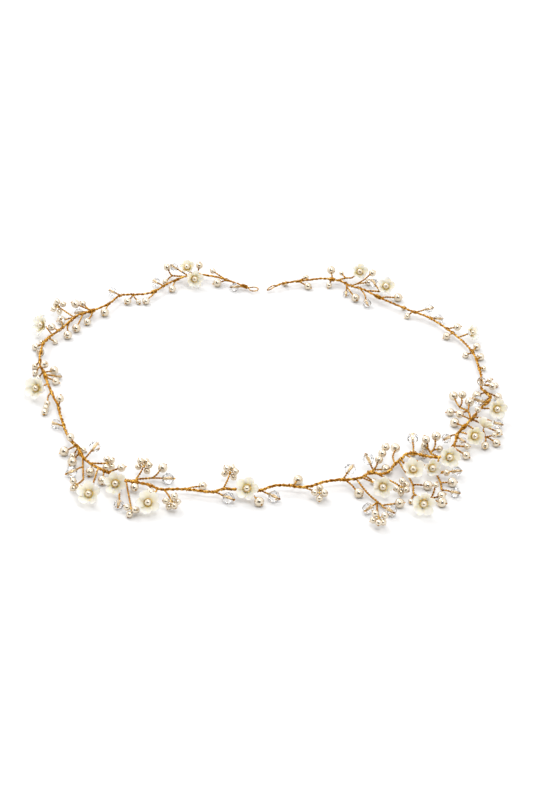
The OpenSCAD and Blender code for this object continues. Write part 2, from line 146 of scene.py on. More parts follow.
def rippled(material, scale, depth):
    """Fine unevenness of a surface; scale is ripples per metre, depth in metres"""
    tree = material.node_tree
    clouds = step(tree, "TexNoise")
    clouds.inputs["Scale"].default_value = scale
    tree.links.new(step(tree, "TexCoord").outputs["Object"], clouds.inputs["Vector"])
    bump = step(tree, "Bump")
    bump.inputs["Distance"].default_value = depth
    tree.links.new(clouds.outputs["Fac"], bump.inputs["Height"])
    tree.links.new(bump.outputs[0], tree.nodes["Principled BSDF"].inputs["Normal"])


paper = finish("white_paper", Roughness=0.9, Specular_IOR_Level=0.1)
mottled(paper, 3, [(0.3, 0.745, 0.747, 0.753), (0.7, 0.76, 0.762, 0.766)])
table.data.materials.append(paper)

# Stem: two gold wires twisted together, with a thinner one wound round them,
# bent by hand into an open ring.
# Places are degrees round the ring, from the middle of the back over the left
# side, millimetres from its middle, and millimetres above the table.
STEM = [
    (3, 82), (6.5, 85.5), (11, 91), (14, 93.5), (17, 94.5), (19.5, 94.5), (22.5, 93), (26.5, 90.5),
    (30, 88), (33.5, 88), (36, 90), (39, 92.5), (44, 89.5), (48, 89), (51, 89.5), (55, 91.5),
    (62, 90.5), (71, 91), (75, 90), (82, 88), (86, 86), (90, 84), (95, 82.5), (103, 81),
    (107, 80.5), (112, 81.5), (116, 82.5), (120, 84), (126, 86.5), (130.5, 87.5), (133, 89.5),
    (138.5, 92), (144, 92.5), (149, 93.5), (152, 92.5), (155, 92), (158, 93), (162, 90.5),
    (165, 89.5), (170, 89.5), (172, 87), (180.5, 87.5), (184.5, 84.5), (188, 85), (190, 86.5),
    (193, 87), (196, 85.5), (200, 85.5), (203, 87), (206, 87.5), (209, 86), (211, 89), (213.5, 88.5),
    (216, 86), (220, 84), (222, 83), (223.5, 84.5), (225, 90), (226.5, 93), (229, 93.5), (232, 92.5),
    (235, 91), (238, 89), (245, 89), (253, 90.5), (258, 92.5), (260.5, 90.5), (262.5, 88.5),
    (269, 88.5), (276, 88.5), (280, 89), (287, 89), (293, 88.5), (299.5, 88), (306.5, 87.5),
    (311, 86), (316, 85.5), (324, 86.5), (329.5, 89), (334, 90), (337.5, 92.5), (342.5, 92.5),
    (345, 90.5), (350.5, 86.5), (353, 84.5), (354.6, 82.2)]
STEM_UP = [
    (3, 1.6), (8, 2.6), (17, 3.6), (30, 2.6), (50, 3.2), (68, 2.9), (76, 4.6), (84, 3.2), (100, 3.3),
    (120, 2.8), (140, 3.3), (165, 2.8), (185, 3.2), (210, 3.3), (235, 3.2), (265, 3.4), (290, 2.7),
    (310, 2.9), (330, 3.2), (348, 2.7), (356, 2.4)]
MIDDLE = (-1.2, 6.5)
DROOP = 0.138


def spot(angle, out, up):
    """A place in metres, from degrees, millimetres outside the stem and up"""
    reach = np.interp(angle, *zip(*STEM)) + out
    turn = math.radians(angle)
    return MM * np.array([MIDDLE[0] - reach * math.sin(turn), MIDDLE[1] + reach * math.cos(turn), up])


def on_wire(angle, out=0):
    """A place on the stem, or on a branch, which droops away from it"""
    return spot(angle, out, max(1, np.interp(angle, *zip(*STEM_UP)) - DROOP * abs(out)))


def unit(v):
    return v / np.linalg.norm(v, axis=-1, keepdims=True)


def bent(points, pace=0.35 * MM):
    """A route that passes smoothly through the points, in short steps"""
    p = np.array(points)
    p = np.vstack([2 * p[0] - p[1], p, 2 * p[-1] - p[-2]])
    route = []
    for a, b, c, d in zip(p, p[1:], p[2:], p[3:]):
        knots = np.cumsum([0] + [np.linalg.norm(v) ** 0.5 for v in (b - a, c - b, d - c)])
        ta, tb, tc, td = knots
        count = max(2, round(np.linalg.norm(c - b) / pace))
        t = np.linspace(tb, tc, count, endpoint=False)[:, None]
        ab = ((tb - t) * a + (t - ta) * b) / (tb - ta)
        bc = ((tc - t) * b + (t - tb) * c) / (tc - tb)
        cd = ((td - t) * c + (t - tc) * d) / (td - tc)
        abc = ((tc - t) * ab + (t - ta) * bc) / (tc - ta)
        bcd = ((td - t) * bc + (t - tb) * cd) / (td - tb)
        route.append(((tc - t) * abc + (t - tb) * bcd) / (tc - tb))
    return np.vstack(route + [p[-2:-1]])


def headings(route):
    """Ahead, sideways and upward directions along a route, turning no more than it does"""
    ahead = unit(np.gradient(route, axis=0))
    side = np.cross(ahead[0], (0, 0, 1) if abs(ahead[0][2]) < 0.8 else (1, 0, 0))
    sides = []
    for t in ahead:
        side = unit(side - side.dot(t) * t)
        sides.append(side)
    sides = np.array(sides)
    return ahead, sides, np.cross(ahead, sides)


def drawn_wire(route, out, across, radius, sides):
    """One round wire along a route: its points, its skin in fours, its ends in threes"""
    n = len(route)
    a = np.arange(sides) * 2 * np.pi / sides
    ring = np.cos(a)[None, :, None] * out[:, None] + np.sin(a)[None, :, None] * across[:, None]
    points = route[:, None] + np.broadcast_to(radius, n)[:, None, None] * ring
    i, k = np.meshgrid(np.arange(n - 1), np.arange(sides), indexing="ij")
    j = (k + 1) % sides
    skin = np.stack([i * sides + k, i * sides + j, (i + 1) * sides + j, (i + 1) * sides + k], -1)
    fan = np.array([(0, m + 1, m) for m in range(1, sides - 1)])
    ends = np.vstack([fan, fan[:, ::-1] + (n - 1) * sides])
    return points.reshape(-1, 3), skin.reshape(-1, 4), ends


def twisted(route, strands, wire_d, pitch, sides=6, turn=0.0, spread=None, fine=1.0):
    """Wires twisted round a route, as by hand: the pitch wanders. Sizes in millimetres"""
    ahead, side, up = headings(route)
    run = np.concatenate([[0], np.cumsum(np.linalg.norm(np.diff(route, axis=0), axis=1))]) / MM
    uneven = 0.12 * np.sin(run / (1.9 * pitch)) + 0.07 * np.sin(run / (0.8 * pitch))
    swing = 2 * np.pi * (run / pitch + uneven) + turn
    if spread is None:
        spread = wire_d / 2 / math.sin(math.pi / strands) * 0.94
    spread = (spread * MM * np.broadcast_to(fine, len(route)))[:, None]
    parts = []
    for s in range(strands):
        phi = (swing + 2 * np.pi * s / strands)[:, None]
        out = np.cos(phi) * side + np.sin(phi) * up
        path = route + spread * out
        across = unit(np.cross(unit(np.gradient(path, axis=0)), out))
        parts.append(drawn_wire(path, out, across, wire_d / 2 * MM * fine, sides))
    return parts


def shaped(name, parts, material, crease=None, flat=False):
    """One mesh from parts of points, faces in fours and faces in threes"""
    base, points, fours, threes = 0, [], [], []
    for p, q, t in parts:
        points.append(p)
        fours.append(np.reshape(q, (-1, 4)) + base)
        threes.append(np.reshape(t, (-1, 3)) + base)
        base += len(p)
    mesh = bpy.data.meshes.new(name)
    mesh.from_pydata(np.vstack(points).tolist(), [],
                     np.vstack(fours).astype(int).tolist() + np.vstack(threes).astype(int).tolist())
    if flat:
        mesh.shade_flat()
    else:
        mesh.shade_smooth()
        if crease:
            mesh.set_sharp_from_angle(angle=math.radians(crease))
    mesh.materials.append(material)
    piece = bpy.data.objects.new(name, mesh)
    bpy.context.scene.collection.objects.link(piece)
    return piece


gold = finish("gold_wire", Metallic=1.0, Roughness=0.22, Specular_Tint=(1, 0.82, 0.52, 1))
mottled(gold, 700, [(0.34, 0.27, 0.095, 0.006), (0.5, 0.50, 0.235, 0.028), (0.66, 0.78, 0.50, 0.14)])
rippled(gold, 2600, 0.00006)
# A paler, brighter copy of the wire's gold: painted light, standing in for the glints on the wires at a
# berry's heart.
painted_glint_gold = finish("painted_glint_gold", Metallic=1.0, Roughness=0.42)
mottled(painted_glint_gold, 700, [(0.35, 0.86, 0.58, 0.20), (0.65, 0.98, 0.76, 0.38)])

THICK_WIRE, THICK_PITCH = 0.6, 4.2
THIN_WIRE, THIN_PITCH, THIN_OUT = 0.34, 3.1, 0.5
stem_route = bent([on_wire(a) for a, _ in STEM])
# The bundle is finer towards its ends at the back, where fewer twigs join it
bearing = np.degrees(np.arctan2(MM * MIDDLE[0] - stem_route[:, 0],
                                stem_route[:, 1] - MM * MIDDLE[1])) % 360
fine = np.interp(bearing, (0, 40, 75, 110, 260, 285, 345), (0.84, 0.86, 0.96, 1, 1, 0.84, 0.84))
parts = twisted(stem_route, 2, THICK_WIRE, THICK_PITCH, sides=8, fine=fine)
parts += twisted(stem_route, 1, THIN_WIRE, THIN_PITCH, spread=THIN_OUT, fine=fine)
stem = shaped("stem_wires", parts, gold)
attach(stem, "root")
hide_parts("vine_wire")

# Side branches: two thinner wires twisted, wound off the stem, that fork again.
BRANCHES = [
    [(19.5, 0), (22, 6)],
    [(134.5, 0), (137.8, 3.2), (141, 8)],
    [(151.5, 0), (150.5, -5)],
    [(151, -2.5), (153.7, -6)],
    [(209, 0), (210.7, -4.6)],
    [(204.5, 0), (204.6, 9), (205.2, 14.5), (205.5, 17)],
    [(218, 0), (215, 12), (213.3, 15.5), (214.7, 22.5)],
    [(226.5, 0), (222.6, 13.9), (220.5, 19.6), (218.7, 22.7)],
    [(226.5, 0), (227.3, -5.3), (228.5, -6)],
    [(246, 0), (250.6, -4.2), (252.8, -8.6)],
    [(243.5, 0), (241.5, 9)],
    [(246.5, 0), (246, 5.5)],
    [(328.5, 0), (325.9, 5)],
    [(338.5, 0), (337, 5.5), (336, 7.8)]]
BRANCH_WIRE, BRANCH_PITCH = 0.48, 2.4
parts = []
for place, branch in enumerate(BRANCHES):
    route = bent([on_wire(*q) for q in branch], 0.3 * MM)
    parts += twisted(route, 2, BRANCH_WIRE, BRANCH_PITCH, turn=place)
branches = shaped("side_branches", parts, gold)
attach(branches, "root")
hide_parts("vine_wire")

# Wire wraps: thin gold wire wound tightly round the stem where many twigs leave
# it, and the two turns round the stem that each single twig starts with.
WRAPS = [4, 16, 30.2, 50.7, 91, 133, 151.5, 209, 223.3, 242, 324, 340]
WRAP_LENGTH, WRAP_R, WRAP_TURNS = 2.4, 0.72, 6


def wound(angle, length, coil_r, wire_d, turns):
    """A coil on the stem, its middle at an angle; sizes in millimetres"""
    near = int(np.argmin(np.linalg.norm(stem_route - on_wire(angle), axis=1)))
    ahead = unit(stem_route[min(near + 2, len(stem_route) - 1)] - stem_route[max(near - 2, 0)])
    side = unit(np.cross(ahead, (0, 0, 1)))
    up = np.cross(side, ahead)
    count = int(turns * 16) + 1
    phi = np.linspace(0, 2 * np.pi * turns, count)[:, None] + angle
    # The coil is a little loose, so its turns don't lie dead even
    run = np.linspace(-length / 2, length / 2, count)[:, None] + 0.05 * np.sin(phi * 0.37)
    out = np.cos(phi) * side + np.sin(phi) * up
    path = stem_route[near] + MM * (run * ahead + coil_r * (1 + 0.05 * np.sin(phi * 0.61)) * out)
    across = unit(np.cross(unit(np.gradient(path, axis=0)), out))
    return drawn_wire(path, out, across, wire_d / 2 * MM, 6)


parts = [wound(a, WRAP_LENGTH, WRAP_R, THIN_WIRE, WRAP_TURNS) for a in WRAPS]
wraps = shaped("wire_wraps", parts, gold)
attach(wraps, "root")
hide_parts("vine_wire")

# Eyelets: the stem's two wires turned back into a loop at each end, for a
# ribbon or a pin. The right one stands on edge.
EYELET_R, EYELET_WIRE, EYELET_PITCH = 1.9, 0.32, 2.2
parts = []
for tip, way, lean in ((stem_route[0], stem_route[0] - stem_route[6], 0),
                       (stem_route[-1], stem_route[-1] - stem_route[-7], 50)):
    flat = unit(np.array([way[0], way[1], 0]))
    side = np.array([-flat[1], flat[0], 0])
    rise = math.cos(math.radians(lean)) * side + np.array([0, 0, math.sin(math.radians(lean))])
    loop = [(EYELET_R * (1.5 + math.cos(a)), EYELET_R * math.sin(a))
            for a in np.radians(range(150, -151, -20))]
    loop = [(-0.5, 0)] + loop + [(-0.5, 0)]
    path = bent([tip + MM * (x * flat + y * rise) for x, y in loop], 0.25 * MM)
    parts += twisted(path, 2, EYELET_WIRE, EYELET_PITCH)
eyelets = shaped("end_eyelets", parts, gold)
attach(eyelets, "root")
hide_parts("vine_wire")

# Pearls: round, drilled, with a thick pearly coat that is cream in the middle
# and beige towards its rim. Rows: where the twig leaves the wire (degrees and
# millimetres outside the stem), where the pearl lies, its height (0 on the
# table), its size, and how many sit in a row.
L, M, S, T = 3.6, 3.1, 2.5, 2.1
PEARLS = [
    (9, 0, 12, 2.5, 4.5, S), (8.5, 0, 11.5, -3.5, 0, L), (16, 0.5, 15, 4.5, 5.8, M),
    (22, 6, 22.4, 10.5, 4.6, M), (22, 6, 24.4, 5, 0, S), (22, 0, 24.5, -3, 0, M),
    (30, 0, 34.5, -5, 0, M), (36, 0, 38.7, -4, 0, M), (36, 0, 36.2, -4.4, 0, T),
    (44.5, 0, 48, -2.6, 0, L), (50.7, 0, 55, -5, 0, M), (53.5, 0, 60, -4.2, 0, L),
    (58, 0, 64.5, -4.2, 0, L), (50.7, 0.5, 52.5, 6, 5.4, L), (50.7, 0.5, 50.5, 5.7, 4.6, S),
    (50.7, 0.5, 49, 4.5, 0, T), (56.5, 0, 58.3, 5.2, 0, L), (64.5, 0, 65.7, 2, 5, M),
    (69.7, 0, 68.6, -1.9, 0, T), (73.8, 0, 73.3, 3.8, 0, M), (71, 0, 70, 3.2, 0, T),
    (85.5, 0, 87, -1, 5.6, M), (82.5, 0, 83, 2.2, 0, S), (84.7, 0, 86.5, 2.8, 0, S),
    (88, 0, 89, 2.4, 0, T), (89, 0, 85.5, -5, 0, L), (91, 0, 91.5, -3.8, 0, M),
    (100, 0, 108, 5.4, 0, S, 3), (109.5, 0, 107.3, -1, 5.6, M),
    (128, 0, 127.6, 1, 5.7, M), (129.5, 0, 128.6, 4.8, 0, L), (130.7, 0, 131.2, 2.8, 0, S),
    (129.5, 0, 130.4, -2.4, 0, T), (139, 0, 139.8, 2.5, 0, L), (143.6, 0, 146, -4.5, 4.2, M),
    (132.6, 0, 133.6, 4.4, 0, L), (142.5, 0, 144.4, 3.9, 0, L), (150.8, 0, 152.4, 2.8, 2.6, M),
    (153.7, -6, 154.8, -11.3, 4, L), (155.2, 0, 156.4, 2.9, 2.3, M), (163.5, 0, 166.5, -5.5, 0, M),
    (178.5, 0, 180.6, 5.6, 0, L), (188.5, 0, 191, -7.3, 0, L), (201.7, 0, 203, 7.6, 0, L),
    (207, 0, 208.6, 3, 0, S), (210.7, -4.6, 217.5, -7, 6.4, M, 3), (210.7, -4.6, 214, -3.2, 0, L),
    (216.5, 0, 221.5, -5.5, 3.8, L), (205.5, 17, 208.6, 20.9, 0, L), (219.3, 0, 219.3, 3.1, 0, T),
    (223.3, 0, 225.2, -8.4, 0, S), (227.3, -5.3, 228.6, -9.4, 5.8, M), (227.3, -5.3, 230, -11, 0, M),
    (228.5, -6, 232.4, -7.6, 5, L), (228.5, -6, 231.4, -5.2, 0, S), (215, 12, 217.2, 17.4, 0, L),
    (213.3, 15.5, 211.2, 18.2, 0, T), (214.7, 22.5, 217, 22, 4.4, T), (214.7, 22.5, 217, 25.2, 0, M),
    (214.7, 22.5, 215.4, 28.2, 0, L), (222.6, 13.9, 222.4, 19.4, 3.6, S), (220.5, 19.6, 221.8, 23.7, 0, L),
    (232.4, 0, 234.9, 4.8, 2.6, S), (232.4, 0, 232.4, 5.9, 0, M), (241.5, 9, 241.8, 12.4, 3.4, T),
    (241.5, 9, 238.4, 11.4, 0, M), (241.5, 9, 240.6, 14.2, 0, M), (246, 5.5, 244.9, 12, 0, M),
    (248.7, 0, 249, 0.6, 5.6, S), (261, 0, 260.4, -3.7, 0, L), (264.5, 0, 264.2, 4.1, 3.2, M),
    (265.5, 0, 266.4, 3, 4, T), (264.5, 0, 267.3, 5.6, 0, T), (260.4, 0, 261, 5, 0, M),
    (250.6, -4.2, 254.7, -6.1, 3.4, L), (252.8, -8.6, 256.6, -10.2, 4.6, M),
    (252.8, -8.6, 257.2, -14, 3.3, L), (250.6, -4.2, 250, -10.8, 0, M),
    (246, 0, 247.1, -5.3, 3.8, M), (242, 0, 244.7, -5.6, 0, L), (274, 0, 276, 2.4, 0, T),
    (283, 0, 283.7, -2.4, 0, S), (279, 0, 281.6, 2.8, 0, M), (283.5, 0, 287, 4.2, 0, M),
    (297.5, 0, 297, 4.2, 3, M), (295, 0, 295.3, -2.5, 0, M), (311, 0, 311.6, -2.3, 0, S),
    (314.5, 0, 316, 3, 0, T), (323, 0, 320.4, 7.3, 0, L), (335.5, 0, 330, -6.4, 0, L),
    (333.5, 0, 331, 12.2, 5.2, M), (333.5, 0, 331.4, 10, 0, M), (337, 5.5, 339, 8.2, 2.6, T),
    (340, 0, 341, 4.4, 5.2, L), (340, 0, 340.2, -2.4, 0, S), (348.3, 0, 347, 2.6, 2.8, S),
    (348.7, 0, 345.6, -4, 0, M), (352.5, 0, 352.4, 2.6, 0, S)]
# Berries go on after the size with the number of pearls, the way the berry
# faces in degrees, and how far it leans that way from upright.
BERRIES = [
    (56.5, 0, 55.4, 9.9, 4.6, S, 5, 150, 60), (138, 0, 141.4, -4.5, 3.3, S, 4, 180, 50),
    (141, 8, 142.2, 13.8, 3.4, S, 3, 180, 60), (150.5, -5, 150.4, -9.4, 4.6, S, 5, 180, 50),
    (149.5, 0, 156, 16.6, 2.5, S, 4, 180, 8), (158.8, 0, 162.5, 10.2, 3.7, S, 5, 180, 50),
    (172, 0, 172.9, -9, 4.6, S, 5, 180, 55), (191, 0, 194.3, 5.6, 3, S, 5, 180, 4),
    (210, 0, 211.3, 11.8, 3.8, S, 5, 180, 50), (205.2, 14.5, 202, 29, 3.8, S, 5, 190, 45)]
BERRY_LIFT, TRIO_LIFT = 0.9, 0.5
BEAD_GAP = 0.2
HOLE_R = 0.34


def seat(row):
    """The middle of a bead in metres"""
    return spot(row[2], row[3], row[4] or row[5] / 2)


def facing(faces, leans):
    """The way a berry or flower looks, from the two angles that give it"""
    f, l = math.radians(faces), math.radians(leans)
    return np.array([-math.sin(f) * math.sin(l), math.cos(f) * math.sin(l), math.cos(l)])


def turned_bead(middle, way, profile, sides, stagger=0.0):
    """A drilled bead: rings round its hole, the last joined to the first.
    Profile rows are distance along the hole and from it, in millimetres"""
    side = unit(np.cross(way, (0, 0, 1) if abs(way[2]) < 0.9 else (1, 0, 0)))
    up = np.cross(way, side)
    n = len(profile)
    ring, k = np.meshgrid(np.arange(n), np.arange(sides), indexing="ij")
    a = (k + stagger * (ring % 2)) * 2 * np.pi / sides
    x, r = np.array(profile, float).T
    points = middle + MM * (x[ring, None] * way + (r[ring] * np.cos(a))[..., None] * side
                            + (r[ring] * np.sin(a))[..., None] * up)
    j, after = (k + 1) % sides, (ring + 1) % n
    a, b, c, d = ring * sides + k, ring * sides + j, after * sides + j, after * sides + k
    if not stagger:
        return points.reshape(-1, 3), np.stack([a, b, c, d], -1).reshape(-1, 4), np.zeros((0, 3), int)
    even = (ring % 2 == 0)
    first = np.where(even[..., None], np.stack([a, b, d], -1), np.stack([a, b, c], -1))
    second = np.where(even[..., None], np.stack([b, c, d], -1), np.stack([a, c, d], -1))
    return points.reshape(-1, 3), np.zeros((0, 4), int), np.concatenate([first, second]).reshape(-1, 3)


def pearl(middle, way, size):
    """A round bead drilled right through, from one rim of its hole to the other"""
    start = math.asin(2 * HOLE_R / size)
    rings = [(-size / 2 * math.cos(t), size / 2 * math.sin(t))
             for t in np.linspace(start, math.pi - start, 17)]
    return turned_bead(middle, way, rings, 24)


nacre = finish("pearl_coat", Roughness=0.08, Metallic=0.8, Specular_IOR_Level=0.8,
               Specular_Tint=(0.66, 0.50, 0.33, 1), Coat_Weight=0.5, Coat_Roughness=0.02, Coat_IOR=1.5)
mottled(nacre, 190, [(0.3, 0.69, 0.59, 0.44), (0.65, 0.80, 0.72, 0.59)])


def berry_pearls(row):
    """The pearls' middles: a zigzag ring that is open where the stalk comes in"""
    middle, stalk = seat(row), on_wire(row[0], row[1]) - seat(row)
    n = facing(*row[7:9])
    u = unit(stalk - stalk.dot(n) * n)
    v = np.cross(n, u)
    slots, pitch = row[6] + 1, row[5] + BEAD_GAP
    lift = TRIO_LIFT if row[6] == 3 else BERRY_LIFT
    r = math.sqrt(pitch ** 2 - 4 * lift ** 2) / (2 * math.sin(math.pi / slots))
    lift *= -1 if stalk.dot(n) > 0 else 1
    return [middle + MM * (r * (math.cos(a) * u + math.sin(a) * v) + (lift if k % 2 else -lift) * n)
            for k, a in ((k, 2 * math.pi * k / slots) for k in range(1, slots))]


halves = {"left": [], "right": []}
for row in PEARLS:
    way = unit(seat(row) - on_wire(row[0], row[1]))
    for k in range(row[6] if len(row) > 6 else 1):
        middle = seat(row) - way * k * (row[5] + BEAD_GAP) * MM
        halves["left" if row[2] < 180 else "right"].append(pearl(middle, way, row[5]))
for row in BERRIES:
    for middle in berry_pearls(row):
        halves["left" if row[2] < 180 else "right"].append(pearl(middle, unit(middle - seat(row)), row[5]))
for half, parts in halves.items():
    pearls = shaped("white_pearls_" + half, parts, nacre, crease=40)
    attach(pearls, "root")
    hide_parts("pearls_" + half)

# Twigs: two fine wires twisted. One comes out of the pearl's hole, turns over
# and goes back in, which leaves a small bright loop on the far side.
TWIG_WIRE = 0.43
THREAD_WIRE = 0.3
TWIG_PITCH = 2.3


def twig(start, end, turn, bow=0.0, wire_d=TWIG_WIRE):
    """A twisted pair from one place to another, bowed a little on its way"""
    length = np.linalg.norm(end - start)
    t = np.linspace(0, 1, max(6, round(length / (0.3 * MM))))[:, None]
    side = unit(np.cross(end - start, (0, 0, 1)))
    route = start + t * (end - start) + bow * MM * np.sin(np.pi * t) * side
    return twisted(route, 2, wire_d, TWIG_PITCH, turn=turn)


def threaded(row, turn, loop, loop_wire):
    """A twig up to its bead, the two wires through the bead and the loop past it"""
    root = on_wire(row[0], row[1])
    way = unit(seat(row) - root)
    beads = row[6] if len(row) > 6 else 1
    near = seat(row) - way * (row[5] / 2 + (beads - 1) * (row[5] + BEAD_GAP)) * MM
    tip = seat(row) + way * row[5] / 2 * MM
    bow = 0.1 * np.linalg.norm(near - root) / MM * math.sin(turn * 1.7)
    made = twig(root, near, turn, bow) + twig(near, tip, turn, wire_d=THREAD_WIRE)
    made.append(end_loop(tip - way * 0.05 * MM, way, loop, loop_wire))
    if not row[1]:
        made.append(wound(row[0] + 0.25 * math.sin(turn), 1.6, 0.6, 0.3, 1.6))
    return made


def end_loop(place, way, width, wire_d=0.28):
    """The wire's loop past a bead: it leaves the hole and turns back into it"""
    side = unit(np.cross(way, (0, 0, 1) if abs(way[2]) < 0.9 else (1, 0, 0)))
    a = np.linspace(-0.15 * np.pi, 1.15 * np.pi, 12)[:, None]
    path = place + MM * width / 2 * (np.cos(a) * side + 1.1 * np.sin(a) * way)
    _, out, across = headings(path)
    return drawn_wire(path, out, across, wire_d / 2 * MM, 6)


parts = []
for place, row in enumerate(PEARLS):
    parts += threaded(row, place, 0.6 + 0.2 * math.sin(place), 0.28)
pearl_twigs = shaped("pearl_twigs", parts, gold)
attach(pearl_twigs, "root")
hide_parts("vine_wire")

# Berry stalks: a twisted pair that opens at the berry's heart into a fine pair
# for each pearl, with a knot of wire in the middle. The knot and its fine wires
# get a paler copy of the gold, which is painted light: the glints at the heart.
KNOT_R, KNOT_WIRE = 0.42, 0.34
parts, knots = [], []
for place, row in enumerate(BERRIES):
    middle, root = seat(row), on_wire(row[0], row[1])
    parts += twig(root, middle, place, 0.3 * math.sin(place * 2.3))
    for k, bead in enumerate(berry_pearls(row)):
        way = unit(bead - middle)
        tip = bead + way * row[5] / 2 * MM
        knots += twig(middle, bead, k, wire_d=THREAD_WIRE)
        parts.append(end_loop(tip - way * 0.1 * MM, way, 0.4))
    n = facing(*row[7:9])
    u = unit(np.cross(n, (1, 0, 0)))
    v = np.cross(n, u)
    a = np.linspace(0, 5 * np.pi, 46)[:, None]
    knot = middle + MM * ((KNOT_R + 0.05 * np.sin(3 * a)) * (np.cos(a) * u + np.sin(a) * v)
                          + 0.3 * np.sin(a * 0.9) * n)
    _, out, across = headings(knot)
    knots.append(drawn_wire(knot, out, across, KNOT_WIRE / 2 * MM, 6))
for name, wires, metal in (("berry_stalks", parts, gold), ("berry_knots", knots, painted_glint_gold)):
    stalks = shaped(name, wires, metal)
    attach(stalks, "root")
    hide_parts("vine_wire")

# Cut crystal beads: clear glass ground in flat facets and drilled, in three
# sizes. The gold wire shows in the hole and ends in a loop, a larger one on the
# big beads.
BIG, MID, WEE = 4.4, 3.7, 2.8
LARGE_CRYSTALS = [
    (135.7, 0, 134.3, -6, 4.6, BIG), (137.8, 3.2, 137, 8.2, 0, BIG), (153.7, -6, 157.4, -8.8, 0, BIG),
    (170, 0, 173.7, 4.4, 0, BIG), (181, 0, 184, 5.4, 0, BIG), (201, 0, 204.4, -4.6, 4.8, BIG),
    (210.7, -4.6, 210.9, -9, 5, BIG), (205.2, 14.5, 202, 19.7, 0, BIG),
    (205.5, 17, 205.6, 23.4, 0, BIG), (223.3, 0, 228.3, -15.2, 4.4, BIG)]
SMALL_CRYSTALS = [
    (4, 0, 7, -3.4, 0, MID), (18.5, 0, 21.2, 6.6, 5.8, MID), (26.8, 0, 27.2, 6, 2.6, MID),
    (39, 0, 39.5, 5.4, 3, MID), (50.7, 0.5, 52.4, 4.4, 0, MID),
    (62.5, 0, 62.6, 0.5, 5.8, WEE), (78.5, 0, 76, 1, 0, MID), (90, 0, 88.4, -5.8, 0, WEE),
    (118.5, 0, 115.5, 2.6, 0, MID), (149.5, 0, 152.6, 14.6, 0, MID), (224.5, 0, 226.1, -6.4, 0, MID),
    (218.7, 22.7, 219.6, 28.4, 0, MID), (222.6, 13.9, 224.8, 14.6, 3, MID),
    (238, 0, 233, -3.4, 5, MID), (237, 0, 236.4, 2.6, 3, WEE), (247.7, 0, 248, 9.4, 2.2, MID),
    (255.5, 0, 254.2, -2.3, 5.2, MID), (258.3, 0, 257.8, -2.6, 0, WEE),
    (264.5, 0, 262.7, -0.3, 6.3, MID), (305.2, 0, 304.6, 4, 0, MID), (310.5, 0, 309, 5.6, 3.5, MID),
    (325.9, 5, 328.4, 6, 4.6, MID), (331, 0, 325.3, -6.2, 0, MID), (335.5, 0, 333.8, -4.8, 0, WEE)]
FACETS = [(-0.455, 0.2), (-0.15, 0.475), (0.15, 0.475), (0.455, 0.2)]


def cut_bead(row):
    """A faceted bead from its row: four rings outside and two for the hole"""
    way, size = unit(seat(row) - on_wire(row[0], row[1])), row[5]
    rings = [(x * size, r * size) for x, r in FACETS]
    bore = [(rings[-1][0], HOLE_R), (rings[0][0], HOLE_R)]
    return turned_bead(seat(row), way, rings + bore, 8, stagger=0.5)


glass = finish("cut_crystal", Roughness=0.0, IOR=1.54, Transmission_Weight=1.0)
sparkle = step(glass.node_tree, "TexNoise")
sparkle.inputs["Scale"].default_value = 900
glass.node_tree.links.new(step(glass.node_tree, "TexCoord").outputs["Object"], sparkle.inputs["Vector"])
glass.node_tree.links.new(
    ramp(glass.node_tree, [(0.3, 0.91, 0.92, 0.94), (0.7, 0.985, 0.99, 1.0)], sparkle.outputs["Fac"]),
    glass.node_tree.nodes["Principled BSDF"].inputs["Base Color"])
lining = finish("bore_gold", Metallic=1.0, Roughness=0.4)
mottled(lining, 900, [(0.35, 0.60, 0.40, 0.18), (0.65, 0.80, 0.60, 0.34)])


def cut_beads(name, rows):
    """Beads in one mesh, with the gold of their wire as the lining of the hole"""
    beads = shaped(name, [cut_bead(row) for row in rows], glass, flat=True)
    beads.data.materials.append(lining)
    bore = np.tile(np.repeat(np.arange(len(FACETS) + 2) == len(FACETS), 8), 2 * len(rows))
    beads.data.polygons.foreach_set("material_index", bore.astype(int))
    return beads


small = cut_beads("cut_beads_small", SMALL_CRYSTALS)
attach(small, "root")
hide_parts("small_crystals")
for place, row in enumerate(LARGE_CRYSTALS):
    large = cut_beads(f"cut_bead_{place + 1:02d}", [row])
    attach(large, "root")
    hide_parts(f"crystal_{place + 1:02d}")

parts = []
for place, row in enumerate(LARGE_CRYSTALS + SMALL_CRYSTALS):
    loop, loop_wire = (0.75, 0.36) if row[5] == BIG else (0.5, 0.3)
    parts += threaded(row, place, loop, loop_wire)
crystal_twigs = shaped("crystal_twigs", parts, gold)
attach(crystal_twigs, "root")
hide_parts("vine_wire")

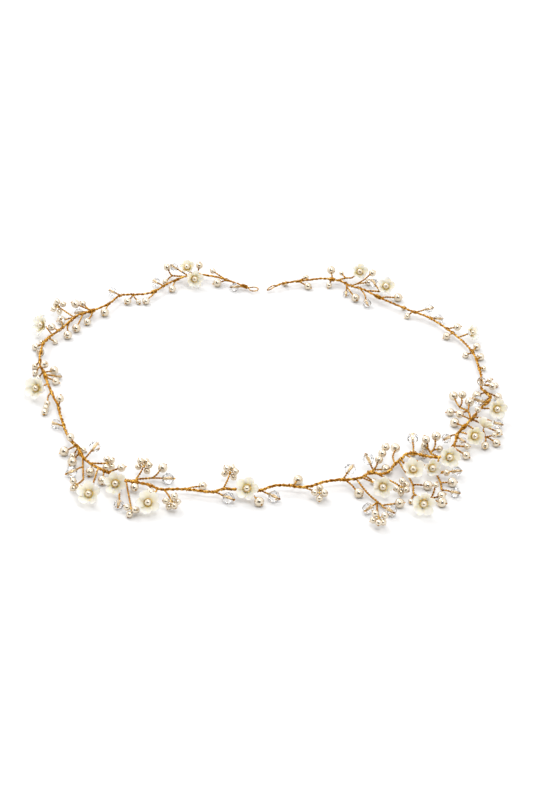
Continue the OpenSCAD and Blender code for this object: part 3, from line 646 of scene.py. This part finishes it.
# Flowers: thin ivory petals with a nacre sheen, pressed into a cup and warm
# yellow at their feet, with a pearl in a gold collar on top. Rows go on after
# the width with petals, the way it faces, its lean and its turn.
FLOWERS = [
    (16.5, 0, 17.8, -5.6, 4.4, 8.2, 5, 200, 66, 0), (17, 0, 18.4, 2.6, 6.6, 6.8, 5, 170, 30, 30),
    (67.5, 0, 66.3, 6.6, 5.4, 9.4, 5, 130, 60, 10), (95, 0, 99.2, 5.8, 5, 9.4, 5, 158, 60, 0),
    (141, 0, 146.8, 16.8, 4.6, 9.2, 5, 175, 50, 20), (146.5, 0, 149.3, 6.4, 5.1, 9, 6, 180, 60, 12),
    (157.5, 0, 158.5, 12.6, 4.6, 9.4, 5, 186, 50, 36), (177.6, 0, 177.8, 2.4, 5.4, 9.2, 5, 180, 62, 0),
    (206, 0, 207.4, 12.1, 4.8, 8.2, 5, 180, 64, 0), (219, 0, 217, 9.5, 5.2, 8.6, 5, 185, 40, 20),
    (221.5, 0, 220.8, 14.8, 4.8, 6.8, 5, 200, 62, 20), (213.3, 15.5, 210.9, 27, 4.8, 9.4, 5, 185, 72, 10),
    (230, 0, 226.2, 6, 5.6, 8.5, 5, 190, 62, 0), (239.5, 0, 237.8, 7.4, 5, 7.5, 5, 190, 62, 0),
    (241.5, 9, 243.7, 7.4, 5.6, 7.2, 5, 330, 50, 0), (252.5, 0, 251.5, 6.8, 5, 8.4, 5, 195, 66, 0),
    (292, 0, 291.6, 6, 4.2, 7.4, 5, 240, 60, 0), (325.9, 5, 324.2, 6.5, 5.5, 8, 5, 180, 46, 0),
    (336, 7.8, 333.7, 9, 6, 7.2, 5, 190, 50, 0)]
CENTRE_PEARL = 2.5
PEARL_RISE = 1.4
GLUE_DEPTH = 0.5
COLLAR_RISE, COLLAR_R = 0.83, 1.42
COLLAR_WIRE, COLLAR_PITCH = 0.18, 1.1
CUP = 0.3
PETAL_FOOT = 0.45


def flower_turn(row):
    """The matrix that turns an upright flower the way it lies"""
    faces, leans, turns = (math.radians(angle) for angle in row[7:10])
    c, s = math.cos(turns), math.sin(turns)
    spin = np.array([[c, -s, 0], [s, c, 0], [0, 0, 1]])
    c, s = math.cos(leans), math.sin(leans)
    lean = np.array([[1, 0, 0], [0, c, s], [0, -s, c]])
    c, s = math.cos(faces), math.sin(faces)
    swing = np.array([[c, -s, 0], [s, c, 0], [0, 0, 1]])
    return swing @ lean @ spin


def petal(row, k, chance):
    """One petal of an upright flower in millimetres: points, faces, and for each
    point how far across and how far out on the petal it lies"""
    width, count = row[5], row[6]
    across, out = 13, 12
    u, v = np.meshgrid(np.linspace(-1, 1, across), np.linspace(0, 1, out) ** 0.8, indexing="ij")
    reach = width / 2 * chance.uniform(0.95, 1.02)
    breadth = reach * math.sin(math.pi / count) * chance.uniform(0.6, 0.7)
    outline = v ** 0.5 * np.sqrt(np.clip(1 - v ** 2.6, 0, 1))
    half = breadth * outline / outline.max() + 0.35 * (1 - v)
    x = PETAL_FOOT + (reach - PETAL_FOOT) * v * (1 - 0.05 * u ** 2)
    y = u * half
    far = np.hypot(x, y)
    rise = CUP * width * np.clip(far / (width / 2), 0, 1.05) ** 1.7
    rise += 1.3 * u ** 2 * v * (1.25 - v) + 0.42 * u * np.sin(np.pi * v * 0.8)
    rise -= 0.5 * np.clip(v - 0.7, 0, 1) ** 2 * chance.uniform(1, 4)
    rise += 0.06 * np.sin(3 * np.pi * u + chance.uniform(0, 6)) * v ** 2
    thick = 0.42 - 0.16 * v
    angle = 2 * math.pi * (k + 0.5) / count + chance.uniform(-0.05, 0.05)
    c, s = math.cos(angle), math.sin(angle)
    top = np.stack([c * x - s * y, s * x + c * y, rise], -1)
    under = np.stack([c * x - s * y, s * x + c * y, rise - thick], -1)
    grid = np.arange(across * out).reshape(across, out)
    a, b, d, e = grid[:-1, :-1], grid[1:, :-1], grid[1:, 1:], grid[:-1, 1:]
    face = np.stack([a, e, d, b], -1).reshape(-1, 4)
    low = across * out
    rim = np.concatenate([grid[:, 0], grid[-1, 1:], grid[-2::-1, -1], grid[0, -2:0:-1]])
    after = np.roll(rim, -1)
    edge = np.stack([rim, after, after + low, rim + low], -1)
    points = np.vstack([top.reshape(-1, 3), under.reshape(-1, 3)])
    places = np.stack([u.ravel(), v.ravel()], -1)
    return points, np.vstack([face, face[:, ::-1] + low, edge]), np.vstack([places, places])


def petal_finish(name, foot, body, tip):
    """Nacre: warm at the petal's foot, with fine streaks along it"""
    made = finish(name, Roughness=0.32, Specular_IOR_Level=0.55, Subsurface_Weight=0.6,
                  Subsurface_Radius=(1.0, 0.8, 0.5), Subsurface_Scale=0.0016,
                  Sheen_Weight=0.15, Coat_Weight=0.25, Coat_Roughness=0.2)
    tree = made.node_tree
    place = step(tree, "UVMap", uv_map="petal")
    split = step(tree, "SeparateXYZ")
    tree.links.new(place.outputs[0], split.inputs[0])
    warm = [(a + 2 * b) / 3 for a, b in zip(foot, body)]
    base = ramp(tree, [(0.05, *foot), (0.3, *warm), (0.5, *body), (1, *tip)], split.outputs["Y"])
    longer = step(tree, "Mapping")
    longer.inputs["Scale"].default_value = (9, 1.2, 1)
    tree.links.new(place.outputs[0], longer.inputs[0])
    streaks = step(tree, "TexNoise")
    streaks.inputs["Scale"].default_value = 2.4
    tree.links.new(longer.outputs[0], streaks.inputs["Vector"])
    shade = ramp(tree, [(0.25, 0.93, 0.92, 0.88), (0.65, 1, 1, 1)], streaks.outputs["Fac"])
    mixed = step(tree, "Mix", data_type="RGBA", blend_type="MULTIPLY")
    mixed.inputs["Factor"].default_value = 1
    tree.links.new(base, mixed.inputs[6])
    tree.links.new(shade, mixed.inputs[7])
    shader = tree.nodes["Principled BSDF"]
    tree.links.new(mixed.outputs[2], shader.inputs["Base Color"])
    bump = step(tree, "Bump")
    bump.inputs["Distance"].default_value = 0.0001
    bump.inputs["Strength"].default_value = 0.5
    tree.links.new(streaks.outputs["Fac"], bump.inputs["Height"])
    tree.links.new(bump.outputs[0], shader.inputs["Normal"])
    return made


ivory = petal_finish("petal_ivory", (0.98, 0.80, 0.42), (0.98, 0.925, 0.78), (0.98, 0.96, 0.89))
butter = petal_finish("petal_butter", (0.90, 0.64, 0.28), (0.96, 0.87, 0.65), (0.98, 0.94, 0.84))
BUTTERY = (2, 14, 15)
# A brighter copy of the wire's gold for the collars: painted light, standing in for the light the petals
# throw on a collar that sits in shade.
painted_light_collar_gold = finish("painted_light_collar_gold", Metallic=1.0, Roughness=0.34)
mottled(painted_light_collar_gold, 700, [(0.35, 0.98, 0.62, 0.11), (0.65, 1.0, 0.80, 0.26)])


def half_drilled(middle, way, size):
    """A pearl with a blind hole from the back, for the end of its wire"""
    start = math.asin(2 * HOLE_R / size)
    rings = [(-size / 2 * math.cos(t), size / 2 * math.sin(t)) for t in np.linspace(start, 3.1, 17)]
    points, skin, _ = turned_bead(middle, way, [(GLUE_DEPTH, HOLE_R)] + rings, 24)
    fan = np.array([(0, k + 1, k) for k in range(1, 23)])
    return points, skin[:-24], np.vstack([fan[:, ::-1], fan + len(points) - 24])


collars, centres, stems = [], [], []
for place, row in enumerate(FLOWERS):
    number = place + 1
    chance = np.random.default_rng(number)
    way = facing(row[7], row[8])
    middle = seat(row)
    heart = middle - way * PEARL_RISE * MM
    turn = flower_turn(row)
    parts, places = [], []
    for k in range(row[6]):
        points, faces, uv = petal(row, k, chance)
        parts.append((heart + MM * points @ turn.T, faces, np.zeros((0, 3), int)))
        places.append(uv)
    cup = shaped(f"petals_{number:02d}", parts, butter if number in BUTTERY else ivory, crease=60)
    corners = np.zeros(len(cup.data.loops), int)
    cup.data.loops.foreach_get("vertex_index", corners)
    cup.data.uv_layers.new(name="petal").data.foreach_set("uv", np.vstack(places)[corners].ravel())
    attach(cup, "root")
    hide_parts(f"flower_{number:02d}")

    centres.append(half_drilled(middle, way, CENTRE_PEARL))
    u = unit(np.cross(way, (0, 0, 1)))
    v = np.cross(way, u)
    a = np.linspace(0, 2 * np.pi, 49)[:, None]
    ring = heart + MM * (COLLAR_R * (np.cos(a) * u + np.sin(a) * v) + COLLAR_RISE * way)
    collars += twisted(ring, 2, COLLAR_WIRE, COLLAR_PITCH, sides=5)
    root, back = on_wire(row[0], row[1]), heart - way * 1.4 * MM
    stems += twisted(bent([root, back], 0.3 * MM), 2, TWIG_WIRE, TWIG_PITCH)
    stems += twisted(bent([back, middle + way * GLUE_DEPTH * MM], 0.3 * MM), 2, THREAD_WIRE, TWIG_PITCH)

centre = shaped("flower_pearls", centres, nacre, crease=40)
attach(centre, "root")
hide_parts("centre_pearls")
collar = shaped("flower_collars", collars, painted_light_collar_gold)
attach(collar, "root")
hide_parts("wire_collars")
flower_stems = shaped("flower_stems", stems, gold)
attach(flower_stems, "root")
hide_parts("vine_wire")
